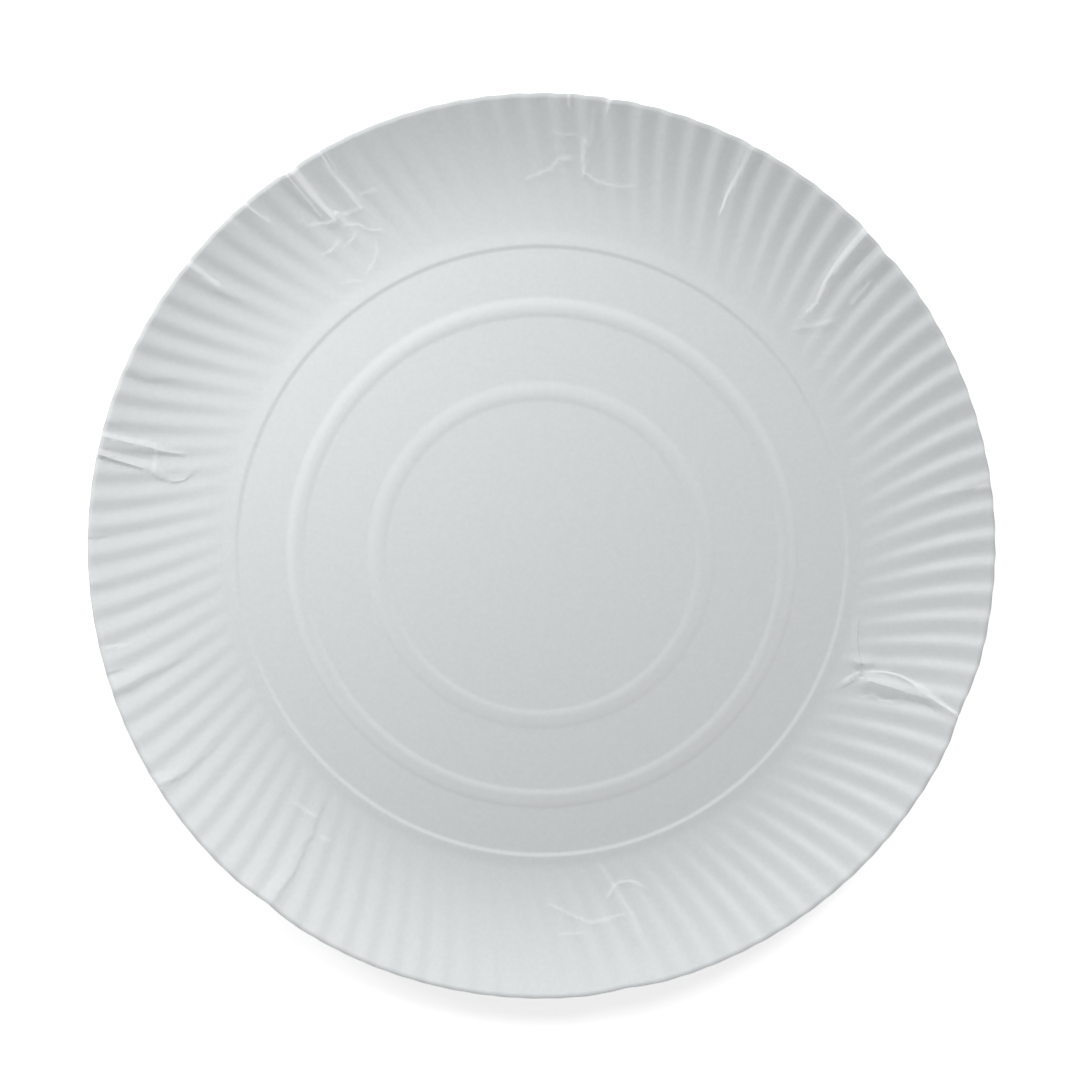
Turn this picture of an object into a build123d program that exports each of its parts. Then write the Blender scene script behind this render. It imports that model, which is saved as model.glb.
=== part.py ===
import os
from math import cos, pi, radians, sin, tan

from build123d import *

# overall size, in millimetres
plate_diameter = 230.0
rim_height = 14.0
wall_width = 28.5
sheet = 0.4

# pressed ridges on the base, set in from the wall's toe, each with a steep inner flank
inner_bead_inset = 44.6
outer_bead_inset = 22.8
bead_height = 0.5
bead_rise = 1.9
bead_fall = 3.8
crease_inset = 4.7
crease_height = 0.3
crease_rise = 0.9
land_width = 0.8

# wall and its swirled flutes, angles in degrees
toe_angle = 11.0
flute_count = 102
flute_depth = 0.9
flute_swirl = 5.0

rim_radius = plate_diameter / 2
toe_radius = rim_radius - wall_width
land_radius = toe_radius - land_width / 2
crease_fall = crease_inset - crease_rise - land_width
half_pitch = pi / flute_count
toe_lean = radians(toe_angle)

# mean underside of the wall in section, square to the base's plane
wall = TangentArc((toe_radius, 0), (rim_radius, rim_height), tangent=(cos(toe_lean), sin(toe_lean)))


def corner_radius(lift):
    # mitre between the flat land and the wall on either side of the sheet
    return toe_radius - lift * tan(toe_lean / 2)


def turned(radius, angle, height):
    return radius * cos(angle), radius * sin(angle), height


def fold_line(step, lift):
    # even steps run along valleys and odd ones along crests, growing from the toe to the rim
    side = 1 if step % 2 else -1
    points = [turned(corner_radius(lift), step * half_pitch, lift)]
    for share in (0.25, 0.5, 0.75, 1.0):
        place = wall @ share
        lean = wall % share
        grown = (place.X - toe_radius) / wall_width
        reach = side * flute_depth / 2 * sin(pi / 2 * grown)
        angle = step * half_pitch + radians(flute_swirl) * grown
        points.append(turned(place.X - lift * lean.Y, angle, place.Y + reach + lift * lean.X))
    return Spline(*points)


def land_face(hole, lift):
    corners = [turned(corner_radius(lift), k * half_pitch, lift) for k in range(2 * flute_count)]
    return Face(Wire.make_polygon(corners, close=True), [Wire([hole])])


# one flute: two facets below, two above and the cut edge between them
under = [fold_line(step, 0) for step in range(3)]
upper = [fold_line(step, sheet) for step in range(3)]
flute = []
for a, b in ((0, 1), (1, 2)):
    low_edge = Edge.make_line(under[a] @ 1, under[b] @ 1)
    high_edge = Edge.make_line(upper[a] @ 1, upper[b] @ 1)
    flute.append(Face.make_surface_from_curves(under[a], under[b]))
    flute.append(Face.make_surface_from_curves(upper[a], upper[b]))
    flute.append(Face.make_surface_from_curves(low_edge, high_edge))

# flat land between the base and the flutes, then all flutes round it
low_hole = Edge.make_circle(land_radius)
high_hole = Edge.make_circle(land_radius, Plane.XY.offset(sheet))
skin = [land_face(low_hole, 0), land_face(high_hole, sheet)]
skin.append(Face.make_surface_from_curves(low_hole, high_hole))
for k in range(flute_count):
    skin += [face.rotate(Axis.Z, 360 * k / flute_count) for face in flute]
fluted_wall = Solid(Shell(skin))

# base section: each ridge as its inset, rise, fall and height
ridges = [
    (inner_bead_inset, bead_rise, bead_fall, bead_height),
    (outer_bead_inset, bead_rise, bead_fall, bead_height),
    (crease_inset, crease_rise, crease_fall, crease_height),
]
underside = [(0, 0)]
for inset, rise, fall, height in ridges:
    start = toe_radius - inset
    underside += [(start, 0), (start + rise, height), (start + rise + fall, 0)]
underside.append((land_radius, 0))

with BuildPart() as plate:
    with BuildSketch(Plane.XZ):
        with BuildLine():
            Polyline(*underside)
            offset(amount=sheet, kind=Kind.INTERSECTION, side=Side.LEFT)
        make_face()
    revolve(axis=Axis.Z)
    add(fluted_wall)

plate.part.label = "plate"
os.makedirs("parts", exist_ok=True)
export_step(plate.part, "parts/plate.step")
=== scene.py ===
import math
import bpy
import bmesh
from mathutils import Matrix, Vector, noise


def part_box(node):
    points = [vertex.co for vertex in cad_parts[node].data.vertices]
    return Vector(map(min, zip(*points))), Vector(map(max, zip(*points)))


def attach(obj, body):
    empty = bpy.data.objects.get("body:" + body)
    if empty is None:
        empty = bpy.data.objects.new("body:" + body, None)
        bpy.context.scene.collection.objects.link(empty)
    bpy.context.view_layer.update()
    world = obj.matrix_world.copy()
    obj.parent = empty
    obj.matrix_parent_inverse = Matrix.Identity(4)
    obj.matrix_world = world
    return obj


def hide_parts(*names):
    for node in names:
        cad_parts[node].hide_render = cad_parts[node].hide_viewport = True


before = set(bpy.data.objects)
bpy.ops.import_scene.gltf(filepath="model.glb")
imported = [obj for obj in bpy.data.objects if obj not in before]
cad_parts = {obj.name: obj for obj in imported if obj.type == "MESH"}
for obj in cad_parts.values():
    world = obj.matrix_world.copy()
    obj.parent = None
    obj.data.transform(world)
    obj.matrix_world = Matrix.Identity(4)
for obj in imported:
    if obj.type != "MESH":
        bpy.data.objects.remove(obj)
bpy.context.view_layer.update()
low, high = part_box("plate")
mm = 0.001
print("frame loaded, plate", [round((b - a) / mm, 1) for a, b in zip(low, high)], "mm")


# sheet section and flutes, lengths in mm and angles in degrees
plate = {
    "rim": high[0] / mm, "toe": 86.5, "sheet": 0.4,
    "wallFoot": 86.3, "footSoft": 1.0, "rimHeight": 13.7, "footSlope": 0.12, "wallCurve": 2.2,
    "slopeStep": 0.05,
    # rings, each bead as its inner foot, height and paleness, a painted sheen on its outer flank
    "beads": ((42.1, 0.26, 0.1), (64.35, 0.34, 0.2)), "beadRise": 1.9, "beadFall": 3.3,
    "paleIn": 0.5, "paleOut": 0.3,
    "crease": 82.1, "creaseWidth": 1.15, "creaseHeight": 0.41,
    "ringShift": (0.3, -0.3), "shiftEnd": 84.0,
    # flutes
    "flutes": 102, "fluteDepth": 0.57, "fluteLean": 0.3, "fluteStart": 85.0, "fluteFull": 106.0,
    "fluteGrowth": 1.25, "fluteEarly": 0.65, "earlySide": 205.0,
    "fluteAngle": 0.245, "swirl": 5.2, "swirlBend": 1.4,
    "risingShare": 0.585, "risingLean": 0.045, "roundness": 0.5, "unevenness": 0.2, "unevenPace": 9.0,
    # mesh
    "baseSteps": 204, "middleRow": 20.0, "ringRows": 14, "ringMargin": 0.6, "ringGap": 5.0,
    "creaseMargin": 0.3, "wallSteps": 816, "wallRows": 34, "skewRun": 6.0, "weld": 0.05, "sharpFold": 28.0,
}

# places where the folds have drawn the rim in
dips = [
    {"angle": 41.8, "depth": 0.4, "spread": 2.0},
    {"angle": 81.2, "depth": 0.35, "spread": 0.5},
    {"angle": 122.5, "depth": 0.4, "spread": 2.0},
    {"angle": 231.5, "depth": 0.6, "spread": 3.0},
    {"angle": 281.5, "depth": 0.6, "spread": 3.0},
    {"angle": 340.5, "depth": 0.8, "spread": 4.0},
]


# how the folds are pressed and cut into the sheet and how far their painted highlight reaches, in mm, with
# the span in degrees
creasing = {
    "span": 4.0, "paleEdge": 0.25, "crestPale": 0.1,
    "cutPast": 0.4, "cutBeside": 1.0, "poolMargin": 1.5, "snap": 0.06,
}


def onRound(angle, r, z=0.0):
    return Vector((r * math.cos(angle), r * math.sin(angle), z))


# a buckled ridge: the (angle, radius) spots of its crest, then heights and flank widths in mm along it,
# the left flank lies to the left when the crest is walked from its first spot,
# a calm fold stretches the flutes flat, pale is a painted highlight on the narrow, lit flank
def fold(crest, rise, left, right, calm=0.0, pale=0.0):
    spots = [onRound(math.radians(a), r) for a, r in crest]
    angles = [a for a, r in crest]
    return {"spots": spots, "rise": rise, "left": left, "right": right, "calm": calm,
            "pale": pale, "paleLeft": sum(left) / len(left) < sum(right) / len(right),
            "span": (min(angles) - creasing["span"], max(angles) + creasing["span"])}


folds = [
    # upper right
    fold(((45.1, 116), (44.6, 108), (44.0, 103.2), (42.5, 98.6), (42.5, 95.5)),
         (0.75, 0.6, 0.35, 0.25, 0.12), (4.5, 3.5, 2.5, 2.0, 1.6), (1.4, 1.1, 0.6, 0.5, 0.4),
         calm=1.0, pale=0.75),
    fold(((41.4, 116), (41.0, 111), (40.8, 108.8)), (0.18, 0.15, 0.06), (3.0, 2.0), (2.2, 1.5), pale=0.17),
    fold(((39.9, 109.2), (39.2, 104.3)), (0.2, 0.15), (1.6, 1.6), (0.45, 0.4), pale=0.35),
    fold(((39.0, 98.2), (40.3, 93.6)), (0.25, 0.15), (2.2, 1.6), (0.8, 0.8), pale=0.15),
    fold(((40.6, 93.0), (41.8, 90.2)), (0.16, 0.1), (0.5, 0.4), (1.5, 1.2)),
    fold(((42.5, 109.8), (40.6, 108.4)), (0.1, 0.1), (0.5, 0.5), (1.5, 1.5)),
    fold(((9.5, 116), (9.4, 111.5), (9.2, 106)), (0.25, 0.06), (2.0, 1.5), (0.6, 0.5), pale=0.15),
    fold(((62.5, 116), (62.55, 110), (62.6, 105), (62.2, 101)),
         (0.35, 0.3, 0.25, 0.15), (3.6, 2.4), (0.9, 0.6, 0.5, 0.4), calm=0.8, pale=0.6),
    # top
    fold(((86.25, 116), (86.15, 112.9)), (0.2, 0.05), (1.2, 1.0), (0.35, 0.25), pale=0.6),
    fold(((81.1, 116), (81.4, 113.0)), (0.3, 0.05), (1.5, 1.2), (0.8, 0.2), pale=0.45),
    fold(((82.9, 112.5), (82.7, 107.5)), (0.12, 0.1), (1.4, 1.4), (0.6, 0.6), pale=0.15),
    fold(((83.9, 106.0), (83.5, 104.6), (83.7, 103.2), (83.2, 102), (83.3, 100.3)),
         (0.3, 0.25), (2.0, 1.6), (0.5, 0.9, 0.6, 0.9, 0.5), pale=0.3),
    fold(((84.2, 106.3), (83.1, 106.7)), (0.1, 0.1), (1.2, 1.2), (0.4, 0.4), pale=0.35),
    fold(((83.2, 100.3), (81.8, 99.2), (79.5, 98.6), (77, 98.8), (75.8, 99.6)),
         (0.14, 0.03), (0.3, 0.25), (1.6, 1.4), pale=0.2),
    fold(((85.5, 103.3), (87.3, 102.8), (88.2, 100.8), (92, 98.6)),
         (0.1, 0.05), (1.6, 1.4), (0.3, 0.25), pale=0.2),
    fold(((85, 107.7), (88, 108)), (0.08, 0.06), (1.4, 1.4), (0.25, 0.25), pale=0.12),
    # upper left
    fold(((118.25, 116), (118.1, 110), (117.5, 106), (117.0, 102)),
         (0.5, 0.35, 0.2, 0.1), (0.5, 0.4, 0.4, 0.35), (2.4, 1.6), pale=0.45),
    fold(((117.6, 116), (117.6, 111)), (0.2, 0.08), (0.35, 0.3), (0.5, 0.5), pale=0.3),
    fold(((122.45, 116), (122.15, 110), (121.7, 106), (121.3, 103.2)),
         (0.75, 0.65, 0.5, 0.25), (1.5, 1.3, 1.0, 0.6), (3.4, 2.8, 2.4, 2.0), calm=1.0, pale=0.75),
    fold(((123.3, 116), (122.9, 110), (122.6, 105)), (0.25, 0.12), (0.35, 0.3), (0.9, 0.8), pale=0.4),
    fold(((122.3, 102.9), (121, 102.3), (120.4, 103.7)), (0.1, 0.1), (0.35, 0.35), (1.8, 1.6), pale=0.3),
    fold(((120.7, 103), (120.2, 101)), (0.25, 0.1), (1.1, 0.9), (2.0, 1.6), pale=0.3),
    fold(((124.8, 104.6), (123.2, 103.6), (122.2, 102.6)),
         (0.06, 0.1), (0.25, 0.25), (1.5, 1.5), pale=0.12),
    fold(((120.4, 103.8), (119.6, 102.3), (116.5, 101.9)), (0.12, 0.06), (0.3, 0.3), (1.5, 1.3), pale=0.15),
    fold(((120.3, 100.4), (118.4, 99), (117.6, 97), (116, 95.6)),
         (0.12, 0.08), (0.3, 0.25), (1.6, 1.4), pale=0.2),
    fold(((117.1, 94.6), (117.5, 92.5), (119, 89.6), (121.2, 88.2)),
         (0.04, 0.06, 0.15, 0.1), (1.5, 1.8), (0.3, 0.3, 0.5, 0.4), pale=0.12),
    fold(((126, 89.4), (124, 88.5), (122.9, 87.2)), (0.06, 0.05), (0.35, 0.35), (1.5, 1.5), pale=0.08),
    fold(((125.6, 97.8), (124, 97.2), (122.3, 98.3)), (0.06, 0.12), (0.25, 0.3), (1.6, 1.6), pale=0.2),
    fold(((121.5, 96.6), (120.3, 96.7), (119.5, 97.9)), (0.08, 0.12), (0.25, 0.3), (1.6, 1.6), pale=0.2),
    fold(((126.3, 105.4), (124.8, 106.2)), (0.08, 0.06), (1.2, 1.2), (0.35, 0.35), pale=0.25),
    fold(((115.9, 104.3), (113.9, 104)), (0.08, 0.06), (0.35, 0.35), (1.2, 1.2), pale=0.25),
    fold(((129.6, 116), (129.3, 113), (128.6, 109.8)), (0.28, 0.1), (0.4, 0.35), (1.5, 1.2), pale=0.4),
    fold(((132.2, 116), (132.0, 113)), (0.15, 0.05), (0.4, 0.35), (1.4, 1.2), pale=0.2),
    fold(((139.85, 116), (139.75, 112), (139.65, 108.4)),
         (0.35, 0.35, 0.3), (1.0, 0.9, 0.8), (3.2, 2.2), calm=0.8, pale=0.45),
    fold(((140.0, 107.8), (139.4, 103.5)), (0.22, 0.1), (2.4, 2.0), (1.5, 0.9)),
    # left
    fold(((155.0, 116), (155.3, 111), (154.3, 107.6), (153.9, 106)),
         (0.15, 0.2, 0.12, 0.06), (2.6, 2.0), (1.3, 1.5, 1.0, 0.7)),
    fold(((164.1, 116), (164.15, 110), (164.1, 105.5), (164.2, 103), (163.9, 98.6)),
         (0.3, 0.55, 0.6, 0.42, 0.18), (0.9, 1.3, 1.5, 1.1, 0.9), (3.4, 2.6, 1.75, 1.05, 0.7), calm=1.0),
    fold(((166.3, 116), (166.75, 112), (167.1, 107.5), (167.3, 105.2)),
         (0.62, 0.58, 0.46, 0.28), (1.3, 1.8, 2.2, 2.2), (1.3, 1.05, 0.75, 0.5), calm=0.6),
    fold(((167.4, 104.6), (168.1, 102.5), (168.3, 99.5), (167.8, 97.2), (166.2, 95.3)),
         (0.12, 0.28, 0.34, 0.24, 0.13), (2.2, 1.8), (0.7, 0.9, 0.9, 0.5, 0.4)),
    fold(((167.5, 103.9), (164.3, 104.3)), (0.12, 0.1), (0.35, 0.35), (1.4, 1.4), pale=0.2),
    fold(((162.1, 116), (162.2, 112.5)), (0.18, 0.06), (1.3, 1.2), (0.5, 0.4)),
    fold(((177.1, 116), (177.1, 112.3)), (0.22, 0.06), (1.5, 1.2), (0.45, 0.4)),
    fold(((183.1, 116), (183.3, 113.2)), (0.25, 0.06), (1.5, 1.2), (0.8, 0.6)),
    fold(((191.4, 116), (191.9, 109.5)), (0.18, 0.08), (0.45, 0.4), (1.5, 1.3), pale=0.1),
    fold(((194.7, 116), (194.85, 112)), (0.25, 0.06), (1.5, 1.3), (0.45, 0.4)),
    # lower left
    fold(((197.1, 116), (196.9, 111.5), (196.5, 109.5), (196.3, 106), (195.7, 100.5)),
         (0.45, 0.5, 0.42, 0.28, 0.12), (3.4, 2.0), (1.6, 2.2, 1.8, 1.6, 1.3), calm=0.8),
    fold(((210.3, 116), (211.1, 112), (211.2, 109.5), (210.6, 104), (210.1, 100)),
         (0.3, 0.3, 0.18, 0.08, 0.03), (2.8, 1.5), (1.1, 0.9)),
    fold(((232.0, 116), (231.95, 111), (232.1, 108), (231.5, 104), (230.6, 101), (230.8, 98.5),
          (229.5, 94.5), (228.8, 90)),
         (0.42, 0.42, 0.32, 0.26, 0.28, 0.25, 0.22, 0.1), (3.4, 1.8),
         (1.5, 1.3, 0.9, 0.9, 1.2, 1.0, 1.0, 0.9), calm=0.5),
    fold(((229.5, 94.4), (228, 95), (225.4, 95.4)), (0.1, 0.06), (1.4, 1.4), (0.4, 0.4), pale=0.2),
    fold(((233.6, 97.2), (232.3, 97.6)), (0.1, 0.08), (1.2, 1.2), (0.4, 0.4), pale=0.2),
    # bottom
    fold(((282.3, 116), (282.2, 112), (281.9, 109.5)), (0.2, 0.08), (0.4, 0.35), (1.4, 1.2)),
    fold(((284.7, 106), (284.3, 101), (283.3, 97), (282.7, 94), (281.1, 88)),
         (0.32, 0.3, 0.25, 0.2, 0.1), (2.2, 1.6), (0.9, 0.8), pale=0.12),
    fold(((287.3, 95.1), (286, 93.3), (284, 92.7), (282.8, 93.3), (281.5, 95.6)),
         (0.1, 0.14), (1.5, 1.5), (0.35, 0.35), pale=0.3),
    fold(((283.2, 100.6), (279.5, 100.9), (278, 101.1), (274.5, 98.2), (271.8, 96)),
         (0.1, 0.08), (1.5, 1.5), (0.3, 0.25), pale=0.17),
    fold(((276.5, 103), (273, 103)), (0.08, 0.05), (1.4, 1.4), (0.35, 0.35), pale=0.15),
    # lower right
    fold(((339.5, 116), (340.15, 111), (340.75, 107.5), (341.5, 104), (341.75, 101), (341.5, 98),
          (340.6, 93.8)),
         (0.5, 0.6, 0.65, 0.4, 0.35, 0.3, 0.2), (2.5, 2.5, 2.2, 1.8, 1.6, 1.5, 1.4),
         (0.5, 0.9, 1.5, 0.7, 0.5, 0.5, 0.45), calm=0.8, pale=0.35),
    fold(((340.3, 109), (339.95, 104.5), (339.75, 100), (339.45, 95.5)),
         (0.35, 0.7, 1.3, 1.1), (1.9, 2.1, 3.9, 3.7), (1.2, 1.8, 2.8, 2.4), calm=1.0, pale=0.12),
    fold(((340.6, 93.3), (338.9, 95.3)), (0.25, 0.2), (0.5, 0.5), (1.3, 1.3)),
    fold(((341.9, 92.8), (341.5, 88.2)), (0.75, 0.2), (2.3, 2.0), (2.8, 2.2)),
    fold(((341.6, 91.6), (343, 90.4), (345, 89), (348.6, 88)), (0.42, 0.26), (1.8, 1.6), (0.45, 0.4)),
    fold(((340, 92.3), (339, 90.8), (337.5, 89.6)), (0.25, 0.14), (1.6, 1.4), (0.55, 0.5), pale=0.25),
    fold(((338.5, 91.5), (335.7, 88.5)), (0.2, 0.1), (0.5, 0.45), (1.5, 1.3)),
    fold(((338.6, 103.8), (337.7, 101.5), (337.2, 99.4), (337.6, 96.6)),
         (0.08, 0.12), (1.2, 1.2), (0.4, 0.4), pale=0.2),
    fold(((337.3, 97.4), (336.5, 95.4)), (0.14, 0.1), (1.3, 1.2), (0.5, 0.5), pale=0.2),
]


def ease(t):
    t = min(max(t, 0.0), 1.0)
    return t * t * (3.0 - 2.0 * t)


def ridge(r, start, rise, fall):
    # sharp at both feet, round on top
    if r < start + rise:
        return 1.0 - (1.0 - max((r - start) / rise, 0.0)) ** 2
    return 1.0 - min((r - start - rise) / fall, 1.0) ** 2


def between(values, share):
    place = share * (len(values) - 1)
    k = min(int(place), len(values) - 2)
    return values[k] + (values[k + 1] - values[k]) * (place - k)


wallRun = plate["rim"] - plate["toe"]


def upTheWall(r):
    return min(max((r - plate["toe"]) / wallRun, 0.0), 1.0)


def wallHeight(r):
    # a straight slope at the foot that curves up towards the rim
    out = r - plate["wallFoot"]
    soft = plate["footSoft"]
    if abs(out) < soft:
        out = (out + soft) ** 2 / (4.0 * soft)
    out = max(out, 0.0)
    full = plate["rim"] - plate["wallFoot"]
    curved = plate["rimHeight"] - plate["footSlope"] * full
    return plate["footSlope"] * out + curved * (out / full) ** plate["wallCurve"]


def wallSlope(r):
    step = plate["slopeStep"]
    return math.atan((wallHeight(r + step) - wallHeight(r - step)) / (2.0 * step))


def ringHeight(r):
    z = plate["creaseHeight"] * ease((r - plate["crease"]) / plate["creaseWidth"])
    for start, height, pale in plate["beads"]:
        z += height * ridge(r, start, plate["beadRise"], plate["beadFall"])
    return z


def beadSheen(r):
    # painted sheen: the outer flank of a bead is painted a little whiter
    highlight = 0.0
    for start, height, pale in plate["beads"]:
        past = (r - start - plate["beadRise"]) / plate["beadFall"]
        highlight += pale * ease(past / plate["paleIn"]) * ease((1.0 - past) / plate["paleOut"])
    return highlight


def swirlAt(r):
    leaned = 1.0 - (1.0 - upTheWall(r)) ** plate["swirlBend"]
    return math.radians(plate["fluteAngle"] + plate["swirl"] * leaned)


def risingAt(angle):
    # the rising facet is wider than the falling one, most of all on the right
    return plate["risingShare"] + plate["risingLean"] * math.cos(angle)


def zigzag(phase, rising):
    # slightly rounded facets
    turn = (phase / (2.0 * math.pi) + 0.5) % 1.0 - 0.5
    half = 0.5 * rising
    if abs(turn) < half:
        height = turn / half
    else:
        height = math.copysign((0.5 - abs(turn)) / (0.5 - half), turn)
    return height + plate["roundness"] * (math.sin(0.5 * math.pi * height) - height)


def fluteHeight(angle, r):
    grown = min(max((r - plate["fluteStart"]) / (plate["fluteFull"] - plate["fluteStart"]), 0.0), 1.0)
    if grown == 0.0:
        return 0.0
    early = plate["fluteEarly"] * max(math.cos(angle - math.radians(plate["earlySide"])), 0.0) ** 2
    grown = grown ** (plate["fluteGrowth"] - early)  # the flutes reach further in on the lower left
    grown *= 1.0 + plate["fluteLean"] * math.cos(angle)  # and are deeper on the right
    own = angle - swirlAt(r)
    uneven = 1.0 + plate["unevenness"] * noise.noise(onRound(own, 1.0) * plate["unevenPace"])
    return 0.5 * plate["fluteDepth"] * uneven * grown * zigzag(plate["flutes"] * own, risingAt(angle))


def rimDip(angle, r):
    turn = math.degrees(angle) % 360.0
    pull = sum(dip["depth"] * math.exp(-((turn - dip["angle"]) / dip["spread"]) ** 2) for dip in dips)
    return pull * upTheWall(r) ** 2


def foldPress(one, spot):
    # how far a point stands inside a fold, its height there and its painted highlight
    best = None
    count = len(one["spots"]) - 1
    for k in range(count):
        start, end = one["spots"][k], one["spots"][k + 1]
        along = end - start
        share = min(max((spot - start).dot(along) / along.length_squared, 0.0), 1.0)
        away = spot - start - along * share
        if best is None or away.length < best[0]:
            best = (away.length, along.cross(spot - start).z > 0.0, (k + share) / count)
    distance, onLeft, share = best
    width = between(one["left"] if onLeft else one["right"], share)
    inside = max(1.0 - distance / width, 0.0)
    # painted highlight, whiter colour on the narrow flank and along the crest
    paintedLight = 0.0
    if onLeft == one["paleLeft"] or distance < creasing["crestPale"]:
        edge = creasing["paleEdge"]
        paintedLight = one["pale"] * min(max((width + edge - distance) / edge, 0.0), 1.0)
    return inside, inside * between(one["rise"], share), paintedLight


def ringGrid(bm, radii, steps):
    # a flat grid bent round the middle, one row for each radius
    rows = len(radii) - 1
    grid = bmesh.ops.create_grid(bm, x_segments=steps, y_segments=rows, size=0.5)
    for vert in grid["verts"]:
        angle = 2.0 * math.pi * vert.co.x
        vert.co = onRound(angle, radii[round((vert.co.y + 0.5) * rows)])


def spread(start, end, count):
    return [start + (end - start) * k / count for k in range(count + 1)]


def shiftRings(bm):
    # the rings are pressed a little off the middle of the round
    for vert in bm.verts:
        past = (vert.co.xy.length - plate["shiftEnd"]) / (plate["toe"] - plate["shiftEnd"])
        vert.co += Vector((*plate["ringShift"], 0.0)) * (1.0 - ease(past))


def turnRows(bm):
    # the columns keep to the crests and follow the swirl
    for vert in bm.verts:
        r = vert.co.xy.length
        angle = math.atan2(vert.co.y, vert.co.x)
        shift = math.pi * (risingAt(angle) - 0.5) * math.sin(plate["flutes"] * angle)
        angle += shift * ease((r - plate["toe"]) / plate["skewRun"]) / plate["flutes"] + swirlAt(r)
        vert.co = onRound(angle, r)


def cutFold(bm, one):
    # edges along the crest and both feet of a fold
    spots = one["spots"]
    middle = sum(spots, Vector()) / len(spots)
    reach = max((spot - middle).length for spot in spots) + max(*one["left"], *one["right"])
    reach += creasing["poolMargin"]
    pool = {face for face in bm.faces if (face.verts[0].co - middle).length < reach}
    for k, (start, end) in enumerate(zip(spots, spots[1:])):
        along = (end - start).normalized()
        side = Vector((-along.y, along.x, 0.0))
        half = 0.5 * (end - start).length + creasing["cutPast"]
        share = (k + 0.5) / (len(spots) - 1)
        left = between(one["left"], share)
        right = between(one["right"], share)
        beside = creasing["cutBeside"]
        near = set()
        for face in pool:
            away = face.calc_center_median() - 0.5 * (start + end)
            if abs(away.dot(along)) < half and -right - beside < away.dot(side) < left + beside:
                near.add(face)
        for shift in (0.0, left, -right):
            edges = {edge for face in near for edge in face.edges}
            verts = {vert for face in near for vert in face.verts}
            cut = bmesh.ops.bisect_plane(bm, geom=[*near, *edges, *verts], dist=creasing["snap"],
                                         plane_co=start + side * shift, plane_no=side)
            near = {g for g in cut["geom"] if isinstance(g, bmesh.types.BMFace)}
        pool = {face for face in pool | near if face.is_valid}


def shapeSheet(bm):
    # a vertex layer of painted light: painted sheen on the beads and painted highlights on the folds
    paintedLight = bm.verts.layers.float.new("paintedLight")
    for vert in bm.verts:
        flat = vert.co.copy()
        r = flat.xy.length
        angle = math.atan2(flat.y, flat.x)
        turn = math.degrees(angle) % 360.0
        flute = fluteHeight(angle, r)
        fromRings = (flat.xy - Vector(plate["ringShift"])).length
        vert[paintedLight] = beadSheen(fromRings)
        lift = 0.0
        for one in folds:
            if one["span"][0] < turn < one["span"][1]:
                inside, height, highlight = foldPress(one, flat)
                lift += height
                vert[paintedLight] = max(vert[paintedLight], highlight)
                flute *= 1.0 - one["calm"] * inside
        lift += flute
        slope = wallSlope(r)  # flutes and folds stand square to the wall
        out = r - rimDip(angle, r) - lift * math.sin(slope)
        z = plate["sheet"] + ringHeight(fromRings) + wallHeight(r) + lift * math.cos(slope)
        vert.co = onRound(angle, out, z)


def makePlate():
    bm = bmesh.new()
    radii = [0.0, plate["middleRow"]]
    for start, height, pale in plate["beads"]:
        end = start + plate["beadRise"] + plate["beadFall"]
        radii += spread(start - plate["ringMargin"], end + plate["ringMargin"], plate["ringRows"])
        radii.append(radii[-1] + plate["ringGap"])
    radii += spread(plate["crease"] - plate["creaseMargin"], plate["toe"], plate["ringRows"])
    ringGrid(bm, radii, plate["baseSteps"])
    bmesh.ops.remove_doubles(bm, verts=bm.verts[:], dist=plate["weld"])
    shiftRings(bm)
    onToe = {v for v in bm.verts if abs(v.co.length - plate["toe"]) < plate["weld"]}
    toeEdges = [e for e in bm.edges if onToe.issuperset(e.verts)]
    bmesh.ops.subdivide_edges(bm, edges=toeEdges, cuts=plate["wallSteps"] // plate["baseSteps"] - 1)
    ringGrid(bm, spread(plate["toe"], plate["rim"], plate["wallRows"]), plate["wallSteps"])
    bmesh.ops.remove_doubles(bm, verts=bm.verts[:], dist=plate["weld"])
    turnRows(bm)
    for one in folds:
        cutFold(bm, one)
    shapeSheet(bm)
    bmesh.ops.scale(bm, vec=(mm, mm, mm), verts=bm.verts[:])
    bmesh.ops.recalc_face_normals(bm, faces=bm.faces[:])
    if sum(f.normal.z for f in bm.faces) < 0.0:
        bmesh.ops.reverse_faces(bm, faces=bm.faces[:])
    for face in bm.faces:
        face.smooth = True
    mesh = bpy.data.meshes.new("paperPlate")
    bm.to_mesh(mesh)
    bm.free()
    mesh.set_sharp_from_angle(angle=math.radians(plate["sharpFold"]))
    piece = bpy.data.objects.new("paperPlate", mesh)
    bpy.context.scene.collection.objects.link(piece)
    board = piece.modifiers.new("board", "SOLIDIFY")
    board.thickness = plate["sheet"] * mm
    board.offset = -1.0
    board.use_even_offset = True
    return piece


paperPlate = makePlate()
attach(paperPlate, "root")
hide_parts("plate")
print("plate made,", len(paperPlate.data.polygons), "faces on the upper side")


# matte white board with a faint cloud and tooth, and painted highlights on the folds and beads
paper = {
    "colour": (0.726, 0.75, 0.757), "highlight": (0.93, 0.95, 0.95), "roughness": 0.88, "specular": 0.25,
    "cloud": 0.02, "cloudScale": 900.0, "cloudDetail": 5.0, "cloudEnds": (0.3, 0.7),
    "tooth": 0.12, "toothScale": 2600.0, "toothDetail": 3.0, "toothDepth": 0.0001,
}


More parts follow.
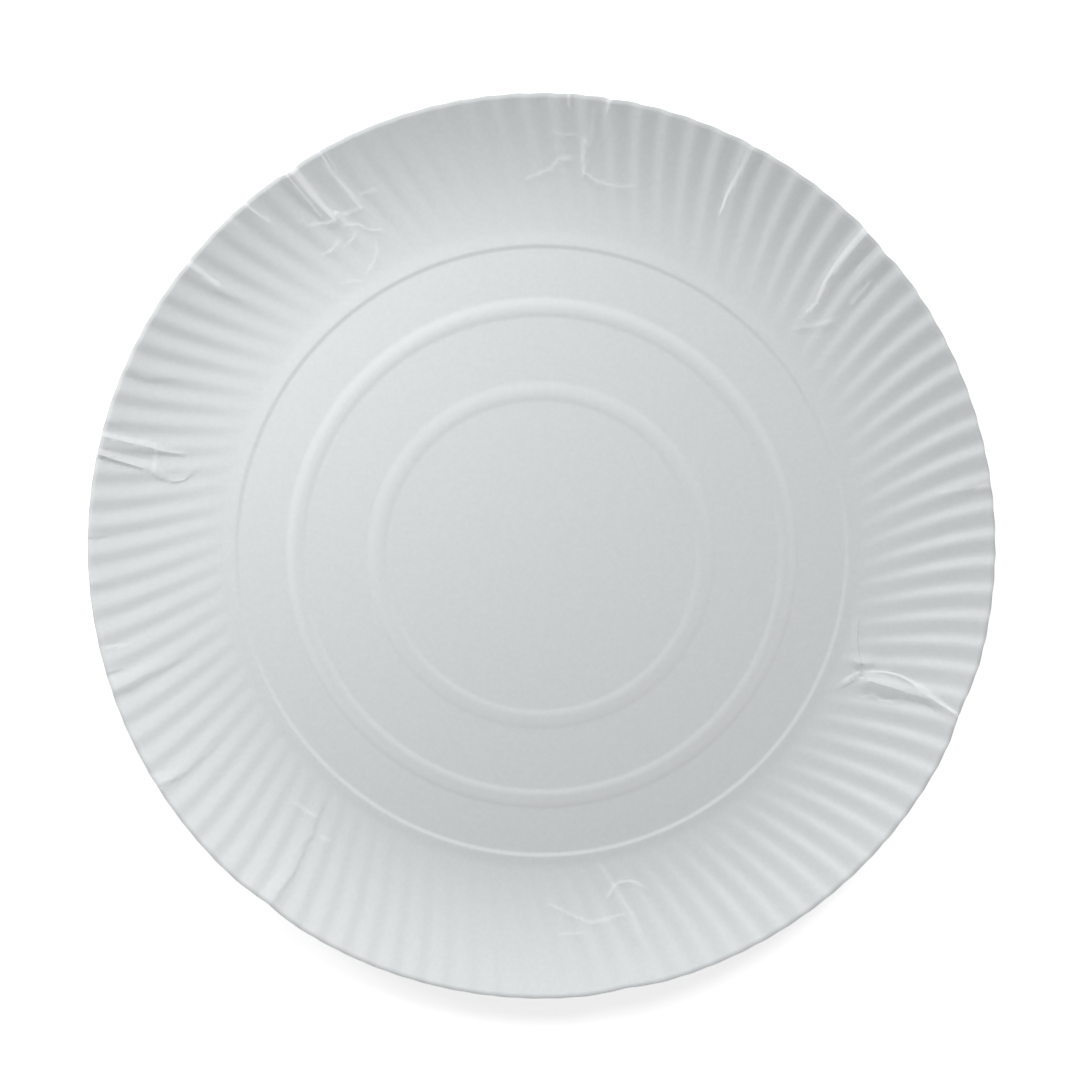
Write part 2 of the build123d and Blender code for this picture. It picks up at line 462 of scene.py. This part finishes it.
def paperMaterial():
    material = bpy.data.materials.new("whiteBoard")
    material.use_nodes = True
    nodes, links = material.node_tree.nodes, material.node_tree.links
    shader = nodes["Principled BSDF"]
    place = nodes.new("ShaderNodeTexCoord")
    cloud = nodes.new("ShaderNodeTexNoise")
    cloud.inputs["Scale"].default_value = paper["cloudScale"]
    cloud.inputs["Detail"].default_value = paper["cloudDetail"]
    links.new(place.outputs["Object"], cloud.inputs["Vector"])
    tint = nodes.new("ShaderNodeValToRGB")
    for k, change in enumerate((1.0 - paper["cloud"], 1.0 + paper["cloud"])):
        tint.color_ramp.elements[k].position = paper["cloudEnds"][k]
        tint.color_ramp.elements[k].color = (*[c * change for c in paper["colour"]], 1.0)
    links.new(cloud.outputs["Fac"], tint.inputs["Fac"])
    paintedLightMask = nodes.new("ShaderNodeAttribute")  # painted highlight: whiter on the lit narrow flank and crest of the folds, and painted sheen on the beads
    paintedLightMask.attribute_name = "paintedLight"
    highlighted = nodes.new("ShaderNodeMix")
    highlighted.data_type = "RGBA"
    highlighted.inputs["B"].default_value = (*paper["highlight"], 1.0)
    links.new(paintedLightMask.outputs["Fac"], highlighted.inputs["Factor"])
    links.new(tint.outputs["Color"], highlighted.inputs["A"])
    links.new(highlighted.outputs["Result"], shader.inputs["Base Color"])
    tooth = nodes.new("ShaderNodeTexNoise")
    tooth.inputs["Scale"].default_value = paper["toothScale"]
    tooth.inputs["Detail"].default_value = paper["toothDetail"]
    links.new(place.outputs["Object"], tooth.inputs["Vector"])
    bump = nodes.new("ShaderNodeBump")
    bump.inputs["Strength"].default_value = paper["tooth"]
    bump.inputs["Distance"].default_value = paper["toothDepth"]
    links.new(tooth.outputs["Fac"], bump.inputs["Height"])
    links.new(bump.outputs["Normal"], shader.inputs["Normal"])
    shader.inputs["Roughness"].default_value = paper["roughness"]
    shader.inputs["Specular IOR Level"].default_value = paper["specular"]
    return material


paperPlate.data.materials.append(paperMaterial())
print("board material set")


# white table top that still takes the plate's shadow
table = {"half": 0.9, "under": 0.00005, "colour": (0.86, 0.86, 0.86), "roughness": 0.9, "lift": 0.6}


def seenRays(nodes, links):
    # rays from the camera, and those that a gloss or a clear surface passes on
    path = nodes.new("ShaderNodeLightPath")
    total = path.outputs["Is Camera Ray"]
    for name in ("Is Glossy Ray", "Is Transmission Ray"):
        add = nodes.new("ShaderNodeMath")
        add.operation = "ADD"
        add.use_clamp = True
        links.new(total, add.inputs[0])
        links.new(path.outputs[name], add.inputs[1])
        total = add.outputs["Value"]
    return total


def makeTable():
    bm = bmesh.new()
    bmesh.ops.create_grid(bm, x_segments=1, y_segments=1, size=table["half"])
    mesh = bpy.data.meshes.new("tableTop")
    bm.to_mesh(mesh)
    bm.free()
    piece = bpy.data.objects.new("tableTop", mesh)
    piece.location.z = -table["under"]
    bpy.context.scene.collection.objects.link(piece)
    material = bpy.data.materials.new("whiteTable")
    material.use_nodes = True
    nodes, links = material.node_tree.nodes, material.node_tree.links
    shader = nodes["Principled BSDF"]
    shader.inputs["Base Color"].default_value = (*table["colour"], 1.0)
    shader.inputs["Roughness"].default_value = table["roughness"]
    shader.inputs["Emission Color"].default_value = (1.0, 1.0, 1.0, 1.0)
    lift = nodes.new("ShaderNodeMath")
    lift.operation = "MULTIPLY"
    lift.inputs[1].default_value = table["lift"]
    links.new(seenRays(nodes, links), lift.inputs[0])
    links.new(lift.outputs["Value"], shader.inputs["Emission Strength"])
    mesh.materials.append(material)
    return piece


makeTable()


# a soft lamp over the far side, a nearer one at the upper left, and a room brighter round its sides
light = {
    "key": {"turn": 75.0, "climb": 42.0, "away": 1.2, "size": 0.30, "power": 6.35},
    "near": {"turn": 142.0, "climb": 41.0, "away": 0.32, "size": 0.10, "power": 0.38},
    "roomSides": 0.94, "roomTop": 0.0,
}


def makeLamp(name, lampSet):
    lamp = bpy.data.lights.new(name, "AREA")
    lamp.shape = "DISK"
    lamp.size = lampSet["size"]
    lamp.energy = lampSet["power"]
    turn, climb = math.radians(lampSet["turn"]), math.radians(lampSet["climb"])
    toLamp = onRound(turn, math.cos(climb), math.sin(climb))
    holder = bpy.data.objects.new(name, lamp)
    holder.location = toLamp * lampSet["away"]
    holder.rotation_euler = toLamp.to_track_quat("Z", "Y").to_euler()
    holder.visible_camera = False
    bpy.context.scene.collection.objects.link(holder)


def makeRoom():
    # dark overhead, and plain white where it is seen
    room = bpy.data.worlds.new("paleRoom")
    room.use_nodes = True
    nodes, links = room.node_tree.nodes, room.node_tree.links
    place = nodes.new("ShaderNodeTexCoord")
    split = nodes.new("ShaderNodeSeparateXYZ")
    links.new(place.outputs["Generated"], split.inputs["Vector"])
    glow = nodes.new("ShaderNodeMapRange")
    glow.inputs["To Min"].default_value = light["roomSides"]
    glow.inputs["To Max"].default_value = light["roomTop"]
    links.new(split.outputs["Z"], glow.inputs["Value"])
    shown = nodes.new("ShaderNodeMix")
    shown.inputs["B"].default_value = 1.0
    links.new(seenRays(nodes, links), shown.inputs["Factor"])
    links.new(glow.outputs["Result"], shown.inputs["A"])
    background = nodes["Background"]
    background.inputs["Color"].default_value = (1.0, 1.0, 1.0, 1.0)
    links.new(shown.outputs["Result"], background.inputs["Strength"])
    bpy.context.scene.world = room


makeLamp("keyLamp", light["key"])
makeLamp("nearLamp", light["near"])
makeRoom()


# close camera, almost straight above
view = {"place": (2.41, 16.46, 215.0), "tilt": (-3.227, 0.596), "lens": 26.43, "sensor": 36.0, "clip": 0.01}


def makeCamera():
    camera = bpy.data.cameras.new("overPlate")
    camera.lens = view["lens"]
    camera.sensor_width = view["sensor"]
    camera.clip_start = view["clip"]
    holder = bpy.data.objects.new("overPlate", camera)
    holder.location = [c * mm for c in view["place"]]
    holder.rotation_euler = (math.radians(view["tilt"][0]), math.radians(view["tilt"][1]), 0.0)
    bpy.context.scene.collection.objects.link(holder)
    bpy.context.scene.camera = holder


makeCamera()
bpy.context.scene.view_settings.view_transform = "Standard"
print("light, table and camera set")
